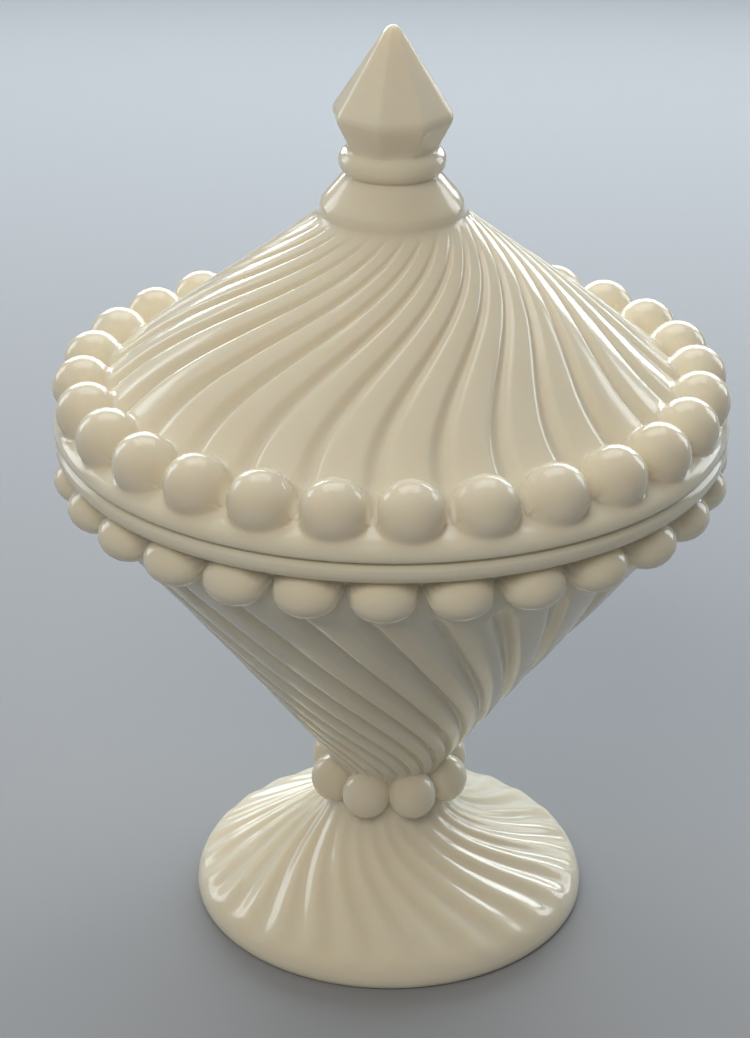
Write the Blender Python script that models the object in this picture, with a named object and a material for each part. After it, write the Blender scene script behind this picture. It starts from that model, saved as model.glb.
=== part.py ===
"""Covered pedestal dish in pressed opal glass: a footed bowl and a lid that lifts off. Metres, +Z up."""

import math

import bpy

MM = 0.001

# Beads and swirled ribs. Every rib ends at one bead, so one count serves the lid, the bowl and the foot.
RIBS = 28
BEAD_SIDES = 8
BEAD_BANDS = 5
LID_TURN = math.radians(3.4)  # how far the lid is turned on its seat
BOWL_TURN = math.radians(-1.1)

# The lid, in millimetres.
SEAT_GAP = 0.3
SEAT_Z = 116.0
LID_BOTTOM_Z = SEAT_Z + SEAT_GAP
LID_CONE_TOP_Z = 163.0  # inside the collar
# Beads and balls: ring radius, height, then how far each reaches outwards, up and along the ring.
LID_BEADS = (64.3, 124.0, 6.5, 6.5, 6.5)
LID_SWIRL_END = 57.0  # outside this radius the ribs run straight out to the beads
LID_SWIRL_RATE = 0.037  # degrees per square millimetre inside it
FLANGE_RADIUS = 61.9
FLANGE_DEPTH = 3.8
FLANGE_WALL = 2.6

# The footed bowl, in millimetres.
MOUTH_RADIUS = 62.3
BOWL_BEADS = (65.6, 107.2, 5.2, 4.8, 6.6)
BOWL_SWIRL_END = 64.5  # outside this radius the ribs run straight up to the beads
BOWL_SWIRL_SLOPE = 0.62  # degrees per millimetre just inside it
BOWL_SWIRL_RATE = 0.00037  # degrees per cubic millimetre further in
KNOP_BALLS = 8
KNOP_SHAPE = (13.5, 29.9, 4.9, 5.3, 5.3)
FOOT_SWIRL_END = 43.0
FOOT_NECK = 13.4
FOOT_TURN = math.radians(3.2)
FOOT_TWIST = math.radians(35.0)
FOOT_SWIRL_POWER = 1.6

# Sides of the turned solids. The finial's are a multiple of its facets.
FLANGE_SIDES = 56
HOLLOW_SIDES = 48
STEM_SIDES = 40
FINIAL_SIDES = 32
FACETS = 8
FACET_TURN = math.radians(4.0)

# Profiles are (radius, height) in millimetres. A ribbed profile's third number is the depth of its valleys.
LID_PROFILE = (
    (12.0, 162.6, 0.0),
    (15.5, 160.9, 0.2),
    (17.0, 159.6, 0.45),
    (21.0, 156.4, 0.7),
    (28.0, 151.1, 0.95),
    (35.0, 145.9, 1.25),
    (42.0, 140.6, 1.5),
    (49.0, 135.2, 1.7),
    (55.5, 130.0, 1.8),
    (61.2, 125.2, 1.5),
    (63.8, 122.9, 0.8),
    (66.0, 121.4, 0.0),
    (68.3, 120.5, 0.0),
    (69.9, 119.6, 0.0),
    (70.8, 118.2, 0.0),
    (70.8, 117.0, 0.0),
    (70.2, LID_BOTTOM_Z, 0.0),
)
LID_FLANGE = (
    (0.0, LID_BOTTOM_Z + 2.0),
    (FLANGE_RADIUS, LID_BOTTOM_Z + 2.0),
    (FLANGE_RADIUS, LID_BOTTOM_Z - FLANGE_DEPTH + 0.5),
    (FLANGE_RADIUS - 0.5, LID_BOTTOM_Z - FLANGE_DEPTH),
    (0.0, LID_BOTTOM_Z - FLANGE_DEPTH),
)
LID_HOLLOW = (
    (0.0, 154.4),
    (9.0, 153.2),
    (18.0, 149.6),
    (34.0, 138.6),
    (48.0, 127.8),
    (56.0, 121.4),
    (FLANGE_RADIUS - FLANGE_WALL, 117.6),
    (FLANGE_RADIUS - FLANGE_WALL, 100.0),
    (0.0, 100.0),
)
COLLAR_PROFILE = (
    (0.0, 176.8),
    (9.3, 176.8),
    (9.5, 175.0),
    (10.5, 173.9),
    (11.0, 172.3),
    (10.5, 170.7),
    (9.8, 169.7),
    (11.0, 168.4),
    (13.1, 165.9),
    (14.4, 164.4),
    (14.9, 162.6),
    (15.0, 161.4),
    (15.0, 158.6),
    (0.0, 158.6),
)
POINT_PROFILE = (
    (0.0, 199.8),
    (0.9, 199.5),
    (1.7, 198.6),
    (8.3, 188.1),
    (11.6, 182.8),
    (11.8, 181.8),
    (11.4, 180.6),
    (9.2, 176.2),
    (9.0, 174.6),
    (0.0, 174.6),
)
BOWL_PROFILE = (
    (12.6, 33.6, 0.0),
    (14.2, 35.8, 0.75),
    (16.6, 39.2, 0.95),
    (19.0, 42.6, 1.15),
    (22.0, 46.7, 1.35),
    (25.2, 51.0, 1.5),
    (32.4, 60.8, 1.8),
    (39.6, 70.4, 2.0),
    (46.8, 79.8, 2.1),
    (53.4, 88.4, 2.1),
    (59.0, 95.6, 2.0),
    (62.6, 100.6, 2.0),
    (64.2, 104.2, 1.6),
    (64.6, 107.6, 0.8),
    (65.4, 110.4, 0.0),
    (68.6, 111.6, 0.0),
    (70.2, 112.4, 0.0),
    (70.7, 113.6, 0.0),
    (70.7, 114.8, 0.0),
    (69.6, SEAT_Z, 0.0),
)
BOWL_HOLLOW = (
    (0.0, 130.0),
    (MOUTH_RADIUS, 130.0),
    (MOUTH_RADIUS, 111.6),
    (59.6, 108.6),
    (56.6, 100.6),
    (50.6, 92.4),
    (34.4, 71.0),
    (19.4, 51.6),
    (13.0, 45.4),
    (6.5, 42.8),
    (0.0, 42.2),
)
KNOP_CORE = (
    (0.0, 36.6),
    (13.2, 36.6),
    (13.4, 34.4),
    (12.5, 32.4),
    (12.2, 29.6),
    (12.5, 27.0),
    (13.1, 24.6),
    (13.1, 21.0),
    (0.0, 21.0),
)
FOOT_PROFILE = (
    (11.4, 26.0, 0.0),
    (13.6, 24.2, 0.15),
    (14.4, 22.5, 0.3),
    (16.4, 20.4, 0.5),
    (20.0, 17.8, 0.75),
    (25.0, 15.0, 0.95),
    (30.4, 12.3, 1.1),
    (36.4, 9.5, 1.2),
    (41.0, 7.1, 1.2),
    (42.4, 5.9, 0.8),
    (43.1, 4.4, 0.0),
    (44.0, 2.6, 0.0),
    (44.0, 0.9, 0.0),
    (43.2, 0.0, 0.0),
)
FOOT_HOLLOW = (
    (0.0, 15.6),
    (7.0, 14.8),
    (14.0, 12.0),
    (26.0, 7.2),
    (35.6, 3.0),
    (37.6, -4.0),
    (0.0, -4.0),
)

# Each rib's corners: the share of one pitch from its crest, and how far down the valley.
RIB_CORNERS = ((-0.3, 0.0), (0.3, 0.0), (0.5, 1.0))


def clear_scene():
    for obj in list(bpy.data.objects):
        bpy.data.objects.remove(obj)


def glass(name):
    material = bpy.data.materials.new(name)
    material.use_nodes = True
    shader = material.node_tree.nodes["Principled BSDF"]
    shader.inputs["Base Color"].default_value = (0.79, 0.75, 0.65, 1.0)
    shader.inputs["Roughness"].default_value = 0.12
    return material


def add_object(name, points, faces, material, helper=False):
    mesh = bpy.data.meshes.new(name)
    mesh.from_pydata(points, [], faces)
    mesh.validate()
    mesh.materials.append(material)
    mesh.polygons.foreach_set("use_smooth", [True] * len(mesh.polygons))
    obj = bpy.data.objects.new(name, mesh)
    bpy.context.scene.collection.objects.link(obj)
    if helper:
        obj.hide_render = True
        obj.display_type = "WIRE"
    return obj


def polar(radius, angle, height):
    """A point in metres. Angle 0 is the front, -Y, and turns towards +X."""
    return (radius * math.sin(angle) * MM, -radius * math.cos(angle) * MM, height * MM)


def beside(radius, aside, angle, height):
    """The same point, moved aside along the ring by a length in millimetres."""
    x, y, z = polar(radius, angle, height)
    return (x + aside * math.cos(angle) * MM, y + aside * math.sin(angle) * MM, z)


def loft(rings, top, bottom):
    """Joins rings of equal length, listed from the top down, and closes both ends on the axis."""
    count = len(rings[0])
    points = [point for ring in rings for point in ring]
    faces = []
    for row in range(len(rings) - 1):
        for side in range(count):
            after = (side + 1) % count
            upper = row * count
            lower = upper + count
            faces.append((upper + side, lower + side, lower + after, upper + after))
    points += [top, bottom]
    last = (len(rings) - 1) * count
    for side in range(count):
        after = (side + 1) % count
        faces.append((len(points) - 2, side, after))
        faces.append((len(points) - 1, last + after, last + side))
    return points, faces


def lathe(name, profile, sides, material, helper=True, turn=0.0, facets=0):
    """A solid turned from a profile that starts and ends on the axis, listed from the top down."""
    rings = []
    for radius, height in profile[1:-1]:
        ring = []
        for side in range(sides):
            angle = math.tau * side / sides
            reach = radius
            if facets:
                pitch = math.tau / facets
                from_middle = (angle + pitch / 2) % pitch - pitch / 2
                reach = radius / math.cos(from_middle)
            ring.append(polar(reach, angle + turn, height))
        rings.append(ring)
    top = polar(0.0, 0.0, profile[0][1])
    bottom = polar(0.0, 0.0, profile[-1][1])
    points, faces = loft(rings, top, bottom)
    return add_object(name, points, faces, material, helper)


def right_normals(profile):
    """For each profile point, the unit direction to the right of the profile's run."""
    found = []
    for index in range(len(profile)):
        before = profile[max(index - 1, 0)]
        after = profile[min(index + 1, len(profile) - 1)]
        run = (after[0] - before[0], after[1] - before[1])
        length = math.hypot(*run)
        found.append((run[1] / length, -run[0] / length))
    return found


def ribbed_rings(profile, swirl, turn, inside):
    """Rings of one ribbed wall. inside is +1 where the glass is to the right of the profile's run, else -1."""
    pitch = math.tau / RIBS
    rings = []
    for (radius, height, depth), normal in zip(profile, right_normals(profile)):
        ring = []
        for rib in range(RIBS):
            for offset, share in RIB_CORNERS:
                sink = depth * share * inside
                reach = radius + sink * normal[0]
                level = height + sink * normal[1]
                angle = (rib + offset) * pitch + turn + swirl(radius)
                ring.append(polar(reach, angle, level))
        rings.append(ring)
    return rings


def lid_swirl(radius):
    inner = max(LID_SWIRL_END - radius, 0.0)
    return math.radians(LID_SWIRL_RATE * inner**2)


def bowl_swirl(radius):
    inner = max(BOWL_SWIRL_END - radius, 0.0)
    return math.radians(BOWL_SWIRL_SLOPE * inner + BOWL_SWIRL_RATE * inner**3)


def foot_swirl(radius):
    share = max(FOOT_SWIRL_END - radius, 0.0) / (FOOT_SWIRL_END - FOOT_NECK)
    return FOOT_TURN - FOOT_TWIST * share**FOOT_SWIRL_POWER


def balls(name, count, shape, turn, material):
    """One helper mesh that holds a ring of separate balls, rounded or flattened as the shape says."""
    ring, height, outwards, upwards, sideways = shape
    points = []
    faces = []
    for index in range(count):
        around = math.tau * index / count + turn
        base = len(points)
        rings = []
        for band in range(1, BEAD_BANDS):
            tilt = math.pi * band / BEAD_BANDS
            level = []
            for side in range(BEAD_SIDES):
                angle = math.tau * (side + 0.5) / BEAD_SIDES
                reach = ring + outwards * math.sin(tilt) * math.cos(angle)
                aside = sideways * math.sin(tilt) * math.sin(angle)
                level.append(beside(reach, aside, around, height + upwards * math.cos(tilt)))
            rings.append(level)
        top = polar(ring, around, height + upwards)
        bottom = polar(ring, around, height - upwards)
        ball_points, ball_faces = loft(rings, top, bottom)
        points += ball_points
        faces += [tuple(base + corner for corner in face) for face in ball_faces]
    return add_object(name, points, faces, material, helper=True)


def combine(body, operation, other):
    modifier = body.modifiers.new(operation.lower() + "_" + other.name, "BOOLEAN")
    modifier.operation = operation
    modifier.solver = "EXACT"
    modifier.object = other


def ribbed_solid(name, profile, swirl, turn, inside, material, helper, top_z, bottom_z):
    rings = ribbed_rings(profile, swirl, turn, inside)
    if top_z < bottom_z:
        rings.reverse()
        top_z, bottom_z = bottom_z, top_z
    top = polar(0.0, 0.0, top_z)
    bottom = polar(0.0, 0.0, bottom_z)
    points, faces = loft(rings, top, bottom)
    return add_object(name, points, faces, material, helper)


def build_lid(material):
    lid = ribbed_solid(
        "lid", LID_PROFILE, lid_swirl, LID_TURN, 1, material, False, LID_CONE_TOP_Z, LID_BOTTOM_Z
    )
    combine(lid, "UNION", lathe("lid_collar", COLLAR_PROFILE, FINIAL_SIDES, material, turn=LID_TURN))
    facet_turn = LID_TURN + FACET_TURN
    point = lathe(
        "lid_point", POINT_PROFILE, FINIAL_SIDES, material, turn=facet_turn, facets=FACETS
    )
    combine(lid, "UNION", point)
    combine(lid, "UNION", lathe("lid_flange", LID_FLANGE, FLANGE_SIDES, material))
    beads = balls("lid_beads", RIBS, LID_BEADS, LID_TURN, material)
    combine(lid, "UNION", beads)
    combine(lid, "DIFFERENCE", lathe("lid_hollow", LID_HOLLOW, HOLLOW_SIDES, material))
    return lid


def build_footed_bowl(material):
    cone_z = BOWL_PROFILE[0][1]
    bowl = ribbed_solid(
        "footed_bowl", BOWL_PROFILE, bowl_swirl, BOWL_TURN, -1, material, False, cone_z, SEAT_Z
    )
    beads = balls("bowl_beads", RIBS, BOWL_BEADS, BOWL_TURN, material)
    combine(bowl, "UNION", beads)
    combine(bowl, "DIFFERENCE", lathe("bowl_hollow", BOWL_HOLLOW, HOLLOW_SIDES, material))
    foot_z = FOOT_PROFILE[0][1]
    foot = ribbed_solid(
        "foot_cone", FOOT_PROFILE, foot_swirl, BOWL_TURN, 1, material, True, foot_z, 0.0
    )
    combine(bowl, "UNION", lathe("knop_core", KNOP_CORE, STEM_SIDES, material))
    combine(bowl, "UNION", foot)
    half_step = math.pi / KNOP_BALLS
    knop = balls("knop_balls", KNOP_BALLS, KNOP_SHAPE, half_step, material)
    combine(bowl, "UNION", knop)
    combine(bowl, "DIFFERENCE", lathe("foot_hollow", FOOT_HOLLOW, STEM_SIDES, material))
    return bowl


clear_scene()
build_footed_bowl(glass("opal_glass_bowl"))
build_lid(glass("opal_glass_lid"))
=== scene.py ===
"""Covered pedestal dish in pressed opal glass: the visual model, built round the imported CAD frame."""

import math

import bpy
import numpy as np
from mathutils import Matrix, Vector


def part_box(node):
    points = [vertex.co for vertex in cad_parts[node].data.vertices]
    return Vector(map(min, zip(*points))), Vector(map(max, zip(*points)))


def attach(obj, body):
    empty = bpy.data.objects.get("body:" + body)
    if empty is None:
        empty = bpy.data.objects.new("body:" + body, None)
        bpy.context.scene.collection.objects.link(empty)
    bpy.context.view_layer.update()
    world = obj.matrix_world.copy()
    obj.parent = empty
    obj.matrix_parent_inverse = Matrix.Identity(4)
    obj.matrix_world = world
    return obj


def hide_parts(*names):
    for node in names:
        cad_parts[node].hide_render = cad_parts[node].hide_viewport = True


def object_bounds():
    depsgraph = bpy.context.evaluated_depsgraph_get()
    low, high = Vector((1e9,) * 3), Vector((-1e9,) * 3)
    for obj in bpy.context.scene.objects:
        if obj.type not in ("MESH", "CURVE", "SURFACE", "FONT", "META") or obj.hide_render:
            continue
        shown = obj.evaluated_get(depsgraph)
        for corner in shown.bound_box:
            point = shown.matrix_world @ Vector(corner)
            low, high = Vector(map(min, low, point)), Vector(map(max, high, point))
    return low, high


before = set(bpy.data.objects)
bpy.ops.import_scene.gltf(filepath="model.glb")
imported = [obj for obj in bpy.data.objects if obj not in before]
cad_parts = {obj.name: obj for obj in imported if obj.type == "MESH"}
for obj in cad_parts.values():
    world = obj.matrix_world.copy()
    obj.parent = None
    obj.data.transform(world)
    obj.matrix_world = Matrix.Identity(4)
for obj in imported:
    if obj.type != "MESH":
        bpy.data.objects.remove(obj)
CAD_LOW, CAD_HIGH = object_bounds()

# Lengths below are in millimetres of a dish that stands FULL_HEIGHT tall. UNIT turns them into metres.
FULL_HEIGHT = 199.8
UNIT = (CAD_HIGH.z - CAD_LOW.z) / FULL_HEIGHT
CENTRE = Vector(((CAD_LOW.x + CAD_HIGH.x) / 2, (CAD_LOW.y + CAD_HIGH.y) / 2, CAD_LOW.z))
FLOOR_Z = CAD_LOW.z

SEAT_Z = (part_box("footed_bowl")[1].z - CAD_LOW.z) / UNIT
SEAT_GAP = 0.3
LID_BOTTOM_Z = SEAT_Z + SEAT_GAP

RIBS = 28
PITCH = math.tau / RIBS
LID_TURN = math.radians(3.4)  # how far the lid is turned on its seat
BOWL_TURN = math.radians(-1.1)  # how far the footed bowl is turned about the axis
LID_COLUMNS_PER_RIB = 18
BOWL_COLUMNS_PER_RIB = 14
COLUMN_CROWDING = 0.35  # how much closer the columns stand in the valleys than on the crests
TOP_THINNING = 3  # columns of the lid for each one of its collar and finial
PLAIN_THINNING = 4  # columns of a ribbed wall for each one of the plain walls behind it

# Swirl of the ribs, in degrees, from the radius where each begins. Going inwards, the lid's grows with
# the square of the distance, the bowl's with the distance and its cube, and the foot's with a power of
# its share of the way to the foot's neck.
LID_SWIRL_END = 57.0
LID_SWIRL_RATE = 0.037
BOWL_SWIRL_END = 64.5
BOWL_SWIRL_SLOPE = 0.62
BOWL_SWIRL_RATE = 0.00037
FOOT_SWIRL_END = 43.0
FOOT_NECK = 13.4
FOOT_TWIST = 35.0
FOOT_SWIRL_POWER = 1.6
FOOT_TURN = 3.2
FOOT_RIBS_ROUND = 8  # whole ribs added to the foot's turn, so that the skin hardly twists in the knop

# Beads and balls: ring radius, height, and how far each reaches outwards, up and along the ring.
LID_BEADS = (64.3, 124.0, 6.5, 6.5, 6.65)
BOWL_BEADS = (65.8, 107.0, 5.6, 4.8, 6.7)
KNOP_BALLS = (13.5, 29.9, 4.9, 5.3, 5.4)
KNOP_COUNT = 8
LID_BEAD_FILLET = 1.1
BOWL_BEAD_FILLET = 0.7
KNOP_FILLET = 0.9

# Points in the glass, as radius and height, that the rows of a beaded band fan out from.
LID_EDGE_CENTRE = (60.5, 118.0)
BOWL_EDGE_CENTRE = (60.0, 110.5)
KNOP_CENTRE = (3.0, 29.4)
FAN_RAYS = 600
MISSED = -50.0  # the reach of a ray that misses every bead

# A valley between two ribs, in shares of half a pitch: where its wall begins, and how wide the wall is.
WALL_START = 0.54
WALL_WIDTH = 0.42
CREST_FALL = 0.3  # the share of the depth that a crest's own roundness takes

# For smoothing the profiles: the fine polyline's step, and the radius that counts as on the axis.
FINE_STEP = 0.1
ON_AXIS = 0.02

# Profiles: radius, height, depth of the valleys.
POINT_PROFILE = (
    (0.0, 199.8, 0),
    (0.9, 199.5, 0),
    (1.7, 198.6, 0),
    (11.6, 182.8, 0),
    (11.8, 181.8, 0),
    (11.4, 180.6, 0),
    (9.2, 176.2, 0),
    (9.1, 175.2, 0),
)
RING_CENTRE = (8.3, 172.3)
RING_RADIUS = 2.7
RING_ARC = (66, -66)  # degrees from level, outwards
RING_ARC_POINTS = 16
COLLAR_PROFILE = (
    (9.9, 169.4, 0),
    (10.4, 168.9, 0),
    (13.6, 165.3, 0),
    (14.6, 163.8, 0),
    (14.9, 162.6, 0),
    (15.0, 161.6, 0),
    (15.5, 160.9, 0),
)
LID_CONE = (
    (15.5, 160.9, 0.0),
    (17.0, 159.6, 0.3),
    (21.0, 156.4, 0.55),
    (28.0, 151.1, 0.85),
    (35.0, 145.9, 1.15),
    (42.0, 140.6, 1.4),
    (49.0, 135.2, 1.65),
    (55.5, 130.0, 1.8),
    (58.3, 127.7, 1.8),
)
LID_EDGE = (
    (58.3, 127.7, 1.8),
    (61.2, 125.2, 1.5),
    (63.8, 122.9, 0.8),
    (66.0, 121.4, 0.0),
    (68.3, 120.5, 0.0),
    (69.9, 119.6, 0.0),
    (70.7, 118.4, 0.0),
    (70.8, 117.2, 0.0),
)
LID_UNDERSIDE = (
    (70.8, 117.2, 0),
    (70.5, 116.6, 0),
    (69.9, LID_BOTTOM_Z, 0),
    (66.0, LID_BOTTOM_Z, 0),
)
LID_INSIDE = (
    (63.0, LID_BOTTOM_Z, 0),
    (62.1, LID_BOTTOM_Z - 0.1, 0),
    (61.8, LID_BOTTOM_Z - 0.6, 0),
    (61.8, LID_BOTTOM_Z - 3.2, 0),
    (61.2, LID_BOTTOM_Z - 3.8, 0),
    (60.0, LID_BOTTOM_Z - 3.8, 0),
    (59.4, LID_BOTTOM_Z - 3.0, 0),
    (59.2, 117.2, 0),
    (56.0, 121.4, 0),
    (48.0, 127.8, 0),
    (34.0, 138.6, 0),
    (18.0, 149.8, 0),
    (9.0, 153.4, 0),
    (0.0, 154.6, 0),
)
BOWL_CONE = (
    (14.2, 35.6, 0.75),
    (19.0, 42.6, 1.15),
    (25.2, 51.0, 1.5),
    (32.4, 60.8, 1.8),
    (39.6, 70.4, 2.1),
    (46.8, 79.8, 2.25),
    (53.4, 88.4, 2.3),
    (59.0, 95.6, 2.3),
    (60.3, 97.3, 2.3),
)
BOWL_EDGE = (
    (60.3, 97.3, 2.3),
    (62.6, 100.6, 2.3),
    (64.2, 104.2, 1.9),
    (64.6, 107.4, 1.0),
    (65.4, 110.4, 0.0),
    (68.4, 111.5, 0.0),
    (70.0, 112.2, 0.0),
    (70.7, 113.6, 0.0),
)
BOWL_RIM = (
    (70.7, 113.6, 0),
    (70.6, 114.9, 0),
    (69.8, 115.8, 0),
    (69.0, SEAT_Z, 0),
    (66.5, SEAT_Z, 0),
)
BOWL_INSIDE = (
    (63.6, SEAT_Z, 0),
    (62.7, SEAT_Z - 0.2, 0),
    (62.3, SEAT_Z - 0.8, 0),
    (62.3, 112.0, 0),
    (61.6, 110.8, 0),
    (59.8, 108.8, 0),
    (56.6, 100.6, 0),
    (50.6, 92.4, 0),
    (34.4, 71.0, 0),
    (19.4, 51.6, 0),
    (13.0, 45.4, 0),
    (6.5, 42.8, 0),
    (0.0, 42.2, 0),
)
KNOP_CORE = (
    (13.6, 24.2, 0.15),
    (12.6, 26.4, 0.0),
    (12.2, 29.6, 0.0),
    (12.6, 33.0, 0.0),
    (14.2, 35.6, 0.75),
)
FOOT_CONE = (
    (43.0, 4.7, 0.0),
    (42.7, 5.3, 0.2),
    (42.0, 6.2, 0.45),
    (40.6, 7.2, 0.65),
    (36.4, 9.5, 0.75),
    (30.4, 12.3, 0.7),
    (25.0, 15.0, 0.55),
    (20.0, 17.8, 0.45),
    (16.4, 20.4, 0.3),
    (14.4, 22.5, 0.2),
    (13.6, 24.2, 0.15),
)
FOOT_RIM = (
    (40.5, 0.0, 0),
    (42.9, 0.0, 0),
    (43.7, 0.4, 0),
    (44.0, 1.2, 0),
    (43.9, 2.4, 0),
    (43.5, 3.7, 0),
    (43.0, 4.7, 0),
)
FOOT_INSIDE = (
    (0.0, 15.6, 0),
    (7.0, 14.8, 0),
    (14.0, 12.0, 0),
    (26.0, 7.2, 0),
    (34.8, 3.4, 0),
    (36.0, 1.2, 0),
    (37.0, 0.15, 0),
    (38.0, 0.0, 0),
)

# The finial's facets. They fade into the round neck over POINT_FADE above POINT_BASE_Z.
FACETS = 8
FACET_TURN = math.radians(4.0)
FACET_CRISPNESS = 40
POINT_BASE_Z = 174.9
POINT_FADE = 1.2

# Opal glass. Scales are in cycles a metre, depths in metres. A noise's values gather in NOISE_RANGE.
NOISE_RANGE = (0.3, 0.7)
IVORY = (0.83, 0.775, 0.635, 1.0)
IVORY_DEEP = (0.81, 0.735, 0.57, 1.0)
SPECK = (0.10, 0.075, 0.05, 1.0)
CLOUD_SCALE = 26.0
CLOUD_SHARE = 0.8
SPECK_SCALE = 85.0
SPECK_SIZE = 0.017
SPECK_RARITY = 0.86
GLOSS_SCALE = 70.0
GLOSS = (0.10, 0.18)
RIPPLE_SCALE = 120.0
RIPPLE_DEPTH = 0.00012
GRAIN_SCALE = 900.0
GRAIN_DEPTH = 0.000012
GLASS_IOR = 1.5
SCATTER_SHARE = 0.6
SCATTER_COLORS = (1.0, 0.75, 0.45)
SCATTER_DEPTH = 0.005

# The studio, in metres.
FLOOR_HALF = 1.5
FLOOR_COLOR = (0.31, 0.32, 0.34, 1.0)
FLOOR_ROUGHNESS = 0.7
FLOOR_SPECULAR = 0.2
SKY_COLOR = (0.88, 0.93, 1.0, 1.0)
SKY_STRENGTH = 0.14
LIGHTS_AIM = (0.0, 0.0, 0.1)

# Lights: name, place, size, watts, colour, and whether the glass mirrors it.
LIGHTS = (
    ("window", (0.05, 0.85, 0.42), (1.2, 0.4), 8.5, (0.90, 0.97, 1.0), True),
    ("overhead", (-0.05, 0.4, 1.05), (0.9, 0.6), 3.9, (0.93, 0.97, 1.0), True),
    ("left", (-0.75, 0.5, 0.35), (0.3, 0.5), 1.4, (0.90, 0.96, 1.0), True),
    ("right", (0.75, 0.5, 0.35), (0.3, 0.5), 1.8, (0.90, 0.96, 1.0), True),
    ("front", (-0.3, -0.8, 1.0), (0.8, 0.6), 6.6, (1.0, 0.91, 0.78), False),
)

# The camera's place from the middle of the foot, in the dish's millimetres, its film's width and its lens
# in millimetres, and its aim: down from level, rightwards, and round its own line of sight.
CAMERA_PLACE = (0.0, -480.4, 323.9)
CAMERA_SENSOR = 36.0
CAMERA_LENS = 85.873
CAMERA_PITCH = math.radians(25.79)
CAMERA_YAW = math.radians(-0.40)
CAMERA_ROLL = math.radians(0.13)


# Profile curves.


def dense_path(points):
    """The same polyline with points every FINE_STEP, so that smoothing rounds its corners evenly."""
    points = np.asarray(points, float)
    run = np.hypot(*np.diff(points[:, :2], axis=0).T)
    along = np.concatenate([[0.0], np.cumsum(run)])
    count = max(int(along[-1] / FINE_STEP), 4)
    at = np.linspace(0.0, along[-1], count + 1)
    return np.stack([np.interp(at, along, points[:, k]) for k in range(3)], axis=1)


def softened(path, sigma):
    """Rounds a dense path's corners with a Gaussian of sigma millimetres. The ends stay in place."""
    reach = int(4 * sigma / FINE_STEP)
    if reach < 1:
        return path
    kernel = np.exp(-0.5 * (np.arange(-reach, reach + 1) * FINE_STEP / sigma) ** 2)
    kernel /= kernel.sum()
    before = 2 * path[0] - path[reach:0:-1]
    after = 2 * path[-1] - path[-2 : -reach - 2 : -1]
    padded = np.concatenate([before, path, after])
    soft = np.stack([np.convolve(padded[:, k], kernel, "valid") for k in range(3)], axis=1)
    soft[0], soft[-1] = path[0], path[-1]
    return soft


def sampled(path, longest, sharpest=math.radians(10)):
    """Fewer points along a dense path: no step is over longest, or turns by more than sharpest."""
    step = np.diff(path[:, :2], axis=0)
    length = np.hypot(step[:, 0], step[:, 1])
    heading = np.unwrap(np.arctan2(step[:, 1], step[:, 0]))
    turn = np.abs(np.gradient(heading)) if len(heading) > 2 else np.zeros(len(heading))
    cost = np.concatenate([[0.0], np.cumsum(length / longest + turn / sharpest)])
    count = max(int(math.ceil(cost[-1])), 2)
    at = np.linspace(0.0, cost[-1], count + 1)
    return np.stack([np.interp(at, cost, path[:, k]) for k in range(3)], axis=1)


def curve(points, sigma, longest):
    return sampled(softened(dense_path(points), sigma), longest)


def normals(path):
    """Unit direction to the left of the path's run, for each point."""
    run = np.gradient(path[:, :2], axis=0)
    run /= np.hypot(run[:, 0], run[:, 1])[:, None]
    return np.stack([-run[:, 1], run[:, 0]], axis=1)


# Ribs, beads and facets.


def even_angles(count):
    """Angles of evenly spaced columns."""
    return np.arange(count) * math.tau / count


def columns(per_rib):
    """Angles of the columns, counted from a crest, crowded towards the valleys."""
    share = np.arange(RIBS * per_rib) / per_rib
    crowded = share + COLUMN_CROWDING / math.tau * np.sin(math.tau * share)
    return crowded * PITCH


def valley(angle):
    """How far down the valley a point lies, from 0 on a crest to 1, at an angle from a crest."""
    share = np.abs((angle / PITCH + 0.5) % 1.0 - 0.5) * 2
    wall = np.clip((share - WALL_START) / WALL_WIDTH, 0.0, 1.0)
    return CREST_FALL * share**2 + (1 - CREST_FALL) * wall * wall * (3 - 2 * wall)


def soft_valley(angle):
    """The same for the foot, where crests and valleys run into each other like waves."""
    return 0.5 - 0.5 * np.cos(math.tau * angle / PITCH)


def lid_swirl(radius):
    inner = np.maximum(LID_SWIRL_END - radius, 0.0)
    return np.radians(LID_SWIRL_RATE * inner**2)


def bowl_swirl(radius):
    inner = np.maximum(BOWL_SWIRL_END - radius, 0.0)
    return np.radians(BOWL_SWIRL_SLOPE * inner + BOWL_SWIRL_RATE * inner**3)


def foot_swirl(radius):
    share = np.clip((FOOT_SWIRL_END - radius) / (FOOT_SWIRL_END - FOOT_NECK), 0.0, 1.0)
    return np.radians(FOOT_TURN - FOOT_TWIST * share**FOOT_SWIRL_POWER) + FOOT_RIBS_ROUND * PITCH


def no_swirl(reach, aim, centre):
    """The turn of a beaded band's rows, where the band lies outside its ribs' swirl."""
    return np.zeros(len(aim))


def edge_swirl(reach, aim, centre):
    """The turn of the bowl's beaded band, which is its ribs' turn at the same radius."""
    return bowl_swirl(centre[0] + reach * np.cos(aim))


def knop_swirl(reach, aim, centre):
    """The turn of the knop, which eases from that of the foot's ribs to that of the bowl's."""
    low = float(foot_swirl(FOOT_CONE[-1][0]))
    high = float(bowl_swirl(BOWL_CONE[0][0]))
    share = (aim - aim.min()) / (aim.max() - aim.min())
    return low + (high - low) * share * share * (3 - 2 * share)


def soft_max(a, b, width):
    """The greater of a and b, rounded where they cross, over width."""
    blend = np.clip(0.5 + 0.5 * (a - b) / width, 0.0, 1.0)
    return b + (a - b) * blend + width * blend * (1 - blend)


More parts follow.
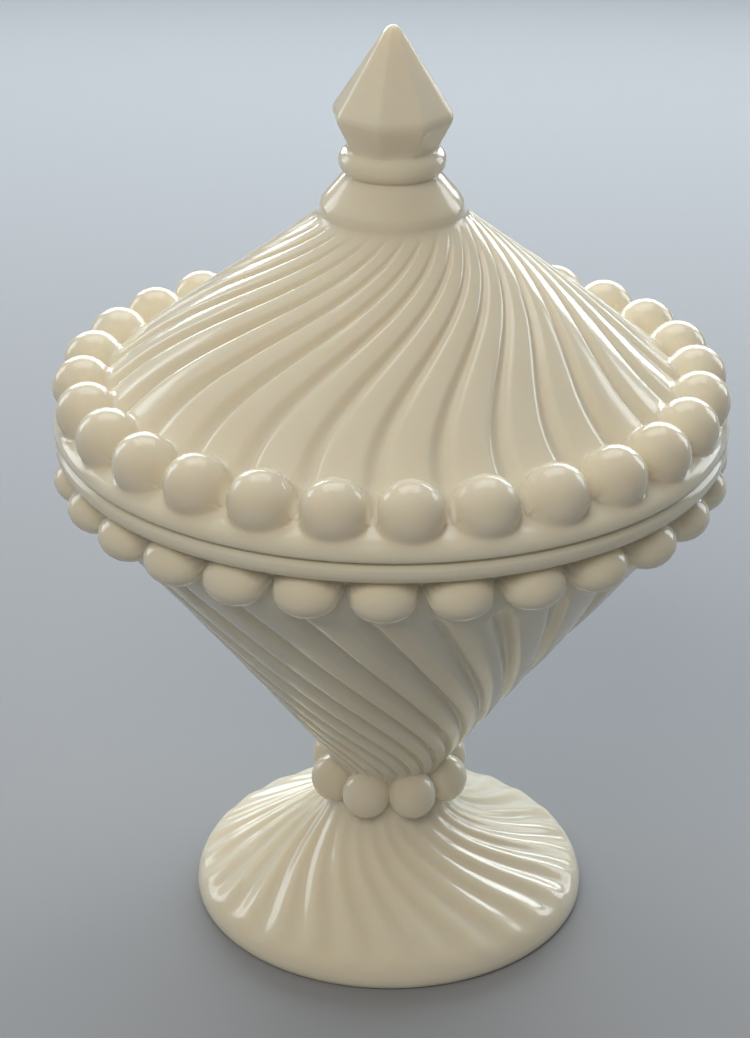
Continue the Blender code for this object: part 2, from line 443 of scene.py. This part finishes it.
def ribbed_rows(path, angles, swirl, inward, shape=valley):
    """Rows of (radius, height, angle) for a ribbed wall. inward is +1 or -1, the side the glass is on."""
    sides = normals(path) * inward
    rows = []
    for (radius, height, depth), side in zip(path, sides):
        sink = depth * shape(angles)
        turned = angles + float(swirl(radius))
        rows.append((radius + sink * side[0], height + sink * side[1], turned))
    return rows


def ray_reach(path, centre, aim):
    """Distance from centre to the path along each aim direction, and the valley depth there."""
    from_centre = path[:, :2] - centre
    heading = np.unwrap(np.arctan2(from_centre[:, 1], from_centre[:, 0]))
    distance = np.hypot(from_centre[:, 0], from_centre[:, 1])
    order = np.argsort(heading)
    reach = np.interp(aim, heading[order], distance[order])
    depth = np.interp(aim, heading[order], path[order, 2])
    return reach, depth


def ball_reach(aim, centre, ball, offset):
    """Distance from centre to the far side of a bead's slice, or MISSED where a ray misses it."""
    ring, height, outwards, upwards, along_ring = ball
    shrink2 = 1 - (ring * np.sin(offset) / along_ring) ** 2
    away_x = (centre[0] - ring * np.cos(offset)) / outwards
    away_z = (centre[1] - height) / upwards
    aim_x = np.cos(aim) / outwards
    aim_z = np.sin(aim) / upwards
    a = aim_x**2 + aim_z**2
    half_b = away_x * aim_x + away_z * aim_z
    c = away_x**2 + away_z**2 - shrink2
    inside = half_b**2 - a * c
    far = (-half_b + np.sqrt(np.maximum(inside, 0.0))) / a
    return np.where((inside > 0) & (shrink2 > 0), far, MISSED)


def beaded_rows(profile, sigma, centre, ball, fillet, offsets, angles, spacing, swirls):
    """Rows across a band where balls stand out of the wall, swept round a centre that lies in the glass.

    The rows follow the outline over a ball's middle, so they are evenly spaced where it bulges most.
    """
    path = softened(dense_path(profile), sigma)
    first = math.atan2(path[0, 1] - centre[1], path[0, 0] - centre[0])
    last = math.atan2(path[-1, 1] - centre[1], path[-1, 0] - centre[0])
    fine = np.linspace(first, last, FAN_RAYS)
    wall, _ = ray_reach(path, centre, fine)
    outline = np.maximum(wall, ball_reach(fine, centre, ball, 0.0))
    spots = np.stack([outline * np.cos(fine), outline * np.sin(fine)], axis=1)
    along = np.concatenate([[0.0], np.cumsum(np.hypot(*np.diff(spots, axis=0).T))])
    count = int(along[-1] / spacing)
    aims = np.interp(np.linspace(0.0, along[-1], count + 1), along, fine)
    rows = []
    for aim, swirl in zip(aims, np.interp(aims, *ordered(fine, swirls(wall, fine, centre)))):
        reach, depth = ray_reach(path, centre, np.array([aim]))
        wall_reach = reach[0] - depth[0] * valley(angles)
        turned = angles + swirl
        ball_out = ball_reach(aim, centre, ball, offsets(turned))
        out = soft_max(wall_reach, ball_out, fillet)
        rows.append((centre[0] + out * np.cos(aim), centre[1] + out * np.sin(aim), turned))
    return rows


def ordered(x, y):
    """Both arrays in the order of x."""
    order = np.argsort(x)
    return x[order], y[order]


def nearest_offset(count, start):
    """A function that gives the angle to the nearest of count balls, the first of them at start."""
    step = math.tau / count

    def offset(angle):
        return (angle - start + step / 2) % step - step / 2

    return offset


def facet_reach(angle, start):
    """How far a shape with FACETS sides and soft edges reaches, as a share of its flats' distance."""
    total = 0.0
    for side in range(FACETS):
        facing = np.cos(angle - start - side * math.tau / FACETS)
        total = total + np.maximum(facing, 0.0) ** FACET_CRISPNESS
    return total ** (-1 / FACET_CRISPNESS)


def faceted_rows(path, angles):
    """Rows of the finial's point."""
    reach = facet_reach(angles, FACET_TURN)
    rows = []
    for radius, height, _ in path:
        share = min(max((height - POINT_BASE_Z) / POINT_FADE, 0.0), 1.0)
        rows.append((radius * (1 + (reach - 1) * share), height, angles))
    return rows


def ring_arc():
    """Profile points round the outside of the ring under the finial's point."""
    points = []
    for aim in np.radians(np.linspace(*RING_ARC, RING_ARC_POINTS)):
        radius = RING_CENTRE[0] + RING_RADIUS * math.cos(aim)
        points.append((radius, RING_CENTRE[1] + RING_RADIUS * math.sin(aim), 0))
    return tuple(points)


# Meshes.


class Skin:
    """Collects rings of points and the faces between them, from one end of a closed skin to the other."""

    def __init__(self):
        self.points = []
        self.faces = []
        self.last = None

    def add_points(self, radius, height, angle):
        count = len(angle)
        x = radius * np.sin(angle)
        y = -radius * np.cos(angle)
        start = sum(len(block) for block in self.points)
        block = np.stack([x, y, np.broadcast_to(height, count)], axis=1)
        self.points.append(block)
        return start, count

    def tip(self, height):
        """Starts or ends the skin at one point on the axis."""
        start, _ = self.add_points(np.zeros(1), height, np.zeros(1))
        if self.last is not None:
            low, count = self.last
            for k in range(count):
                self.faces.append((low + k, start, low + (k + 1) % count))
        self.last = (start, 1)

    def ring(self, radius, height, angle):
        """Adds a ring. Its count is the last ring's, or divides it, or is a multiple of it."""
        radius = np.broadcast_to(radius, len(angle))
        start, count = self.add_points(radius, height, angle)
        if self.last is not None:
            self.join(self.last, (start, count))
        self.last = (start, count)

    def join(self, upper, lower):
        (a, n), (b, m) = upper, lower
        if n == 1:
            for k in range(m):
                self.faces.append((a, b + k, b + (k + 1) % m))
            return
        fine = max(n, m)
        for k in range(min(n, m)):
            share = fine // min(n, m)
            near = (k + 1) % min(n, m)
            if n >= m:
                edge = [a + (k * share + s) % n for s in range(share + 1)]
                self.faces.append(tuple(reversed(edge)) + (b + k, b + near))
            else:
                edge = [b + (k * share + s) % m for s in range(share + 1)]
                self.faces.append((a + near, a + k) + tuple(edge))

    def rows(self, rows):
        for radius, height, angle in rows:
            self.ring(radius, height, angle)

    def plain(self, path, angle):
        for radius, height, _ in path:
            if radius < ON_AXIS:
                self.tip(height)
            else:
                self.ring(radius, height, angle)

    def build(self, name, material):
        points = np.concatenate(self.points) * UNIT + np.array(CENTRE)
        mesh = bpy.data.meshes.new(name)
        mesh.from_pydata(points.tolist(), [], self.faces)
        mesh.materials.append(material)
        mesh.polygons.foreach_set("use_smooth", [True] * len(mesh.polygons))
        mesh.update()
        obj = bpy.data.objects.new(name, mesh)
        bpy.context.scene.collection.objects.link(obj)
        return obj


def turn_about_axis(angle):
    """A turn about the dish's axis, wherever the frame puts it."""
    to_axis = Matrix.Translation(-CENTRE)
    return Matrix.Translation(CENTRE) @ Matrix.Rotation(angle, 4, "Z") @ to_axis


def build_lid(material):
    angles = columns(LID_COLUMNS_PER_RIB)
    top_angles = even_angles(len(angles) // TOP_THINNING) + float(lid_swirl(LID_CONE[0][0]))
    under_angles = even_angles(len(angles) // PLAIN_THINNING)
    skin = Skin()
    point = curve(POINT_PROFILE, sigma=0.35, longest=0.9)
    skin.tip(POINT_PROFILE[0][1])
    skin.rows(faceted_rows(point[1:], top_angles))
    skin.plain(curve(ring_arc() + COLLAR_PROFILE, sigma=0.22, longest=0.7), top_angles)
    cone = curve(LID_CONE, sigma=0.8, longest=1.1)
    skin.rows(ribbed_rows(cone, angles, lid_swirl, -1)[1:])
    edge = beaded_rows(
        LID_EDGE,
        sigma=0.35,
        centre=LID_EDGE_CENTRE,
        ball=LID_BEADS,
        fillet=LID_BEAD_FILLET,
        offsets=nearest_offset(RIBS, 0.0),
        angles=angles,
        spacing=0.6,
        swirls=no_swirl,
    )
    skin.rows(edge[1:])
    skin.plain(curve(LID_UNDERSIDE, sigma=0.15, longest=1.0)[1:], angles)
    skin.plain(curve(LID_INSIDE, sigma=0.2, longest=2.0), under_angles)
    lid = skin.build("lid_glass", material)
    lid.data.transform(turn_about_axis(LID_TURN))
    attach(lid, "lid")
    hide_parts("lid")
    return lid


def build_bowl(material):
    """The footed bowl, from the bottom of its inside up, over the rim, and down to the foot's inside."""
    angles = columns(BOWL_COLUMNS_PER_RIB)
    plain_angles = even_angles(len(angles) // PLAIN_THINNING)
    skin = Skin()
    skin.plain(curve(BOWL_INSIDE, sigma=0.3, longest=2.0)[::-1], plain_angles)
    skin.plain(curve(BOWL_RIM, sigma=0.15, longest=0.9)[::-1], angles)
    edge = beaded_rows(
        BOWL_EDGE,
        sigma=0.35,
        centre=BOWL_EDGE_CENTRE,
        ball=BOWL_BEADS,
        fillet=BOWL_BEAD_FILLET,
        offsets=nearest_offset(RIBS, 0.0),
        angles=angles,
        spacing=0.55,
        swirls=edge_swirl,
    )
    skin.rows(edge[::-1][1:])
    cone = curve(BOWL_CONE, sigma=0.8, longest=1.2)[::-1]
    skin.rows(ribbed_rows(cone, angles, bowl_swirl, -1)[1:])
    knop = beaded_rows(
        KNOP_CORE,
        sigma=0.5,
        centre=KNOP_CENTRE,
        ball=KNOP_BALLS,
        fillet=KNOP_FILLET,
        offsets=nearest_offset(KNOP_COUNT, math.pi / KNOP_COUNT - BOWL_TURN),
        angles=angles,
        spacing=0.5,
        swirls=knop_swirl,
    )
    skin.rows(knop[::-1][1:])
    foot = curve(FOOT_CONE, sigma=0.5, longest=1.0)[::-1]
    skin.rows(ribbed_rows(foot, angles, foot_swirl, -1, soft_valley)[1:])
    rim_swirl = float(foot_swirl(FOOT_CONE[0][0]))
    skin.plain(curve(FOOT_RIM, sigma=0.15, longest=0.8)[::-1][1:], angles + rim_swirl)
    skin.plain(curve(FOOT_INSIDE, sigma=0.3, longest=2.0)[::-1], plain_angles + rim_swirl)
    bowl = skin.build("bowl_glass", material)
    bowl.data.transform(turn_about_axis(BOWL_TURN))
    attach(bowl, "bowl")
    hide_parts("footed_bowl")
    return bowl


# Materials and floor.


def noise(nodes, links, place, scale, detail=2.0):
    node = nodes.new("ShaderNodeTexNoise")
    node.inputs["Scale"].default_value = scale
    node.inputs["Detail"].default_value = detail
    links.new(place, node.inputs["Vector"])
    return node.outputs["Fac"]


def spread(nodes, links, value, low, high):
    """Maps a noise onto low to high."""
    node = nodes.new("ShaderNodeMapRange")
    node.inputs["From Min"].default_value = NOISE_RANGE[0]
    node.inputs["From Max"].default_value = NOISE_RANGE[1]
    node.inputs["To Min"].default_value = low
    node.inputs["To Max"].default_value = high
    links.new(value, node.inputs["Value"])
    return node.outputs["Result"]


def compare(nodes, links, value, operation, limit):
    node = nodes.new("ShaderNodeMath")
    node.operation = operation
    links.new(value, node.inputs[0])
    node.inputs[1].default_value = limit
    return node.outputs["Value"]


def glass_color(nodes, links, place):
    """Ivory with faint cloudiness and a few dark specks."""
    cloud = nodes.new("ShaderNodeMix")
    cloud.data_type = "RGBA"
    cloud.inputs["A"].default_value = IVORY
    cloud.inputs["B"].default_value = IVORY_DEEP
    cloudy = spread(nodes, links, noise(nodes, links, place, CLOUD_SCALE, 3.0), 0.0, CLOUD_SHARE)
    links.new(cloudy, cloud.inputs["Factor"])
    cells = nodes.new("ShaderNodeTexVoronoi")
    cells.inputs["Scale"].default_value = SPECK_SCALE
    links.new(place, cells.inputs["Vector"])
    apart = nodes.new("ShaderNodeSeparateColor")
    links.new(cells.outputs["Color"], apart.inputs["Color"])
    near = compare(nodes, links, cells.outputs["Distance"], "LESS_THAN", SPECK_SIZE)
    chosen = compare(nodes, links, apart.outputs["Red"], "GREATER_THAN", SPECK_RARITY)
    both = nodes.new("ShaderNodeMath")
    both.operation = "MULTIPLY"
    links.new(near, both.inputs[0])
    links.new(chosen, both.inputs[1])
    specks = nodes.new("ShaderNodeMix")
    specks.data_type = "RGBA"
    specks.inputs["B"].default_value = SPECK
    links.new(both.outputs["Value"], specks.inputs["Factor"])
    links.new(cloud.outputs["Result"], specks.inputs["A"])
    return specks.outputs["Result"]


def glass_relief(nodes, links, place):
    """The slow ripple of pressed glass with a fine grain on it."""
    ripple = nodes.new("ShaderNodeBump")
    ripple.inputs["Strength"].default_value = 1.0
    ripple.inputs["Distance"].default_value = RIPPLE_DEPTH
    links.new(noise(nodes, links, place, RIPPLE_SCALE, 1.0), ripple.inputs["Height"])
    grain = nodes.new("ShaderNodeBump")
    grain.inputs["Strength"].default_value = 1.0
    grain.inputs["Distance"].default_value = GRAIN_DEPTH
    links.new(noise(nodes, links, place, GRAIN_SCALE), grain.inputs["Height"])
    links.new(ripple.outputs["Normal"], grain.inputs["Normal"])
    return grain.outputs["Normal"]


def opal_glass(name, seed):
    """Glossy ivory glass that light sinks into. Each seed gives its clouds and specks other places."""
    material = bpy.data.materials.new(name)
    material.use_nodes = True
    nodes = material.node_tree.nodes
    links = material.node_tree.links
    shader = nodes["Principled BSDF"]
    shader.inputs["IOR"].default_value = GLASS_IOR
    shader.inputs["Subsurface Weight"].default_value = SCATTER_SHARE
    shader.inputs["Subsurface Radius"].default_value = SCATTER_COLORS
    shader.inputs["Subsurface Scale"].default_value = SCATTER_DEPTH
    coordinates = nodes.new("ShaderNodeTexCoord")
    mapping = nodes.new("ShaderNodeMapping")
    mapping.inputs["Location"].default_value = (seed, 2 * seed, -seed)
    links.new(coordinates.outputs["Object"], mapping.inputs["Vector"])
    place = mapping.outputs["Vector"]
    gloss = spread(nodes, links, noise(nodes, links, place, GLOSS_SCALE), *GLOSS)
    links.new(glass_color(nodes, links, place), shader.inputs["Base Color"])
    links.new(gloss, shader.inputs["Roughness"])
    links.new(glass_relief(nodes, links, place), shader.inputs["Normal"])
    return material


def build_floor():
    mesh = bpy.data.meshes.new("floor")
    corners = [(-1, -1), (1, -1), (1, 1), (-1, 1)]
    mesh.from_pydata([(x * FLOOR_HALF, y * FLOOR_HALF, FLOOR_Z) for x, y in corners], [], [(0, 1, 2, 3)])
    material = bpy.data.materials.new("floor")
    material.use_nodes = True
    shader = material.node_tree.nodes["Principled BSDF"]
    shader.inputs["Base Color"].default_value = FLOOR_COLOR
    shader.inputs["Roughness"].default_value = FLOOR_ROUGHNESS
    shader.inputs["Specular IOR Level"].default_value = FLOOR_SPECULAR
    mesh.materials.append(material)
    floor = bpy.data.objects.new("floor", mesh)
    bpy.context.scene.collection.objects.link(floor)


# Light and camera.


def area_light(name, place, size, watts, color, mirrored):
    """A soft rectangular light. One that isn't mirrored lights the glass but shows no highlight in it."""
    data = bpy.data.lights.new(name, "AREA")
    data.shape = "RECTANGLE"
    data.size, data.size_y = size
    data.energy = watts
    data.color = color
    light = bpy.data.objects.new(name, data)
    light.location = place
    light.rotation_mode = "QUATERNION"
    light.rotation_quaternion = (Vector(LIGHTS_AIM) - Vector(place)).to_track_quat("-Z", "Y")
    light.visible_camera = False
    light.visible_glossy = mirrored
    bpy.context.scene.collection.objects.link(light)


def build_light():
    world = bpy.data.worlds.new("studio")
    bpy.context.scene.world = world
    world.use_nodes = True
    background = world.node_tree.nodes["Background"]
    background.inputs["Color"].default_value = SKY_COLOR
    background.inputs["Strength"].default_value = SKY_STRENGTH
    for light in LIGHTS:
        area_light(*light)
    bpy.context.scene.view_settings.view_transform = "Standard"


def build_camera():
    data = bpy.data.cameras.new("camera")
    data.sensor_width = CAMERA_SENSOR
    data.lens = CAMERA_LENS
    camera = bpy.data.objects.new("camera", data)
    level = math.cos(CAMERA_PITCH)
    look = Vector((math.sin(CAMERA_YAW) * level, math.cos(CAMERA_YAW) * level, -math.sin(CAMERA_PITCH)))
    right = Vector((math.cos(CAMERA_YAW), -math.sin(CAMERA_YAW), 0.0))
    up = right.cross(look)
    turned_right = right * math.cos(CAMERA_ROLL) + up * math.sin(CAMERA_ROLL)
    turned_up = up * math.cos(CAMERA_ROLL) - right * math.sin(CAMERA_ROLL)
    turn = Matrix((turned_right, turned_up, -look)).transposed().to_4x4()
    camera.matrix_world = Matrix.Translation(CENTRE + Vector(CAMERA_PLACE) * UNIT) @ turn
    bpy.context.scene.collection.objects.link(camera)
    bpy.context.scene.camera = camera


build_lid(opal_glass("opal_glass_lid", 0.37))
build_bowl(opal_glass("opal_glass_bowl", 0.81))
build_floor()
build_light()
build_camera()

bpy.context.view_layer.update()
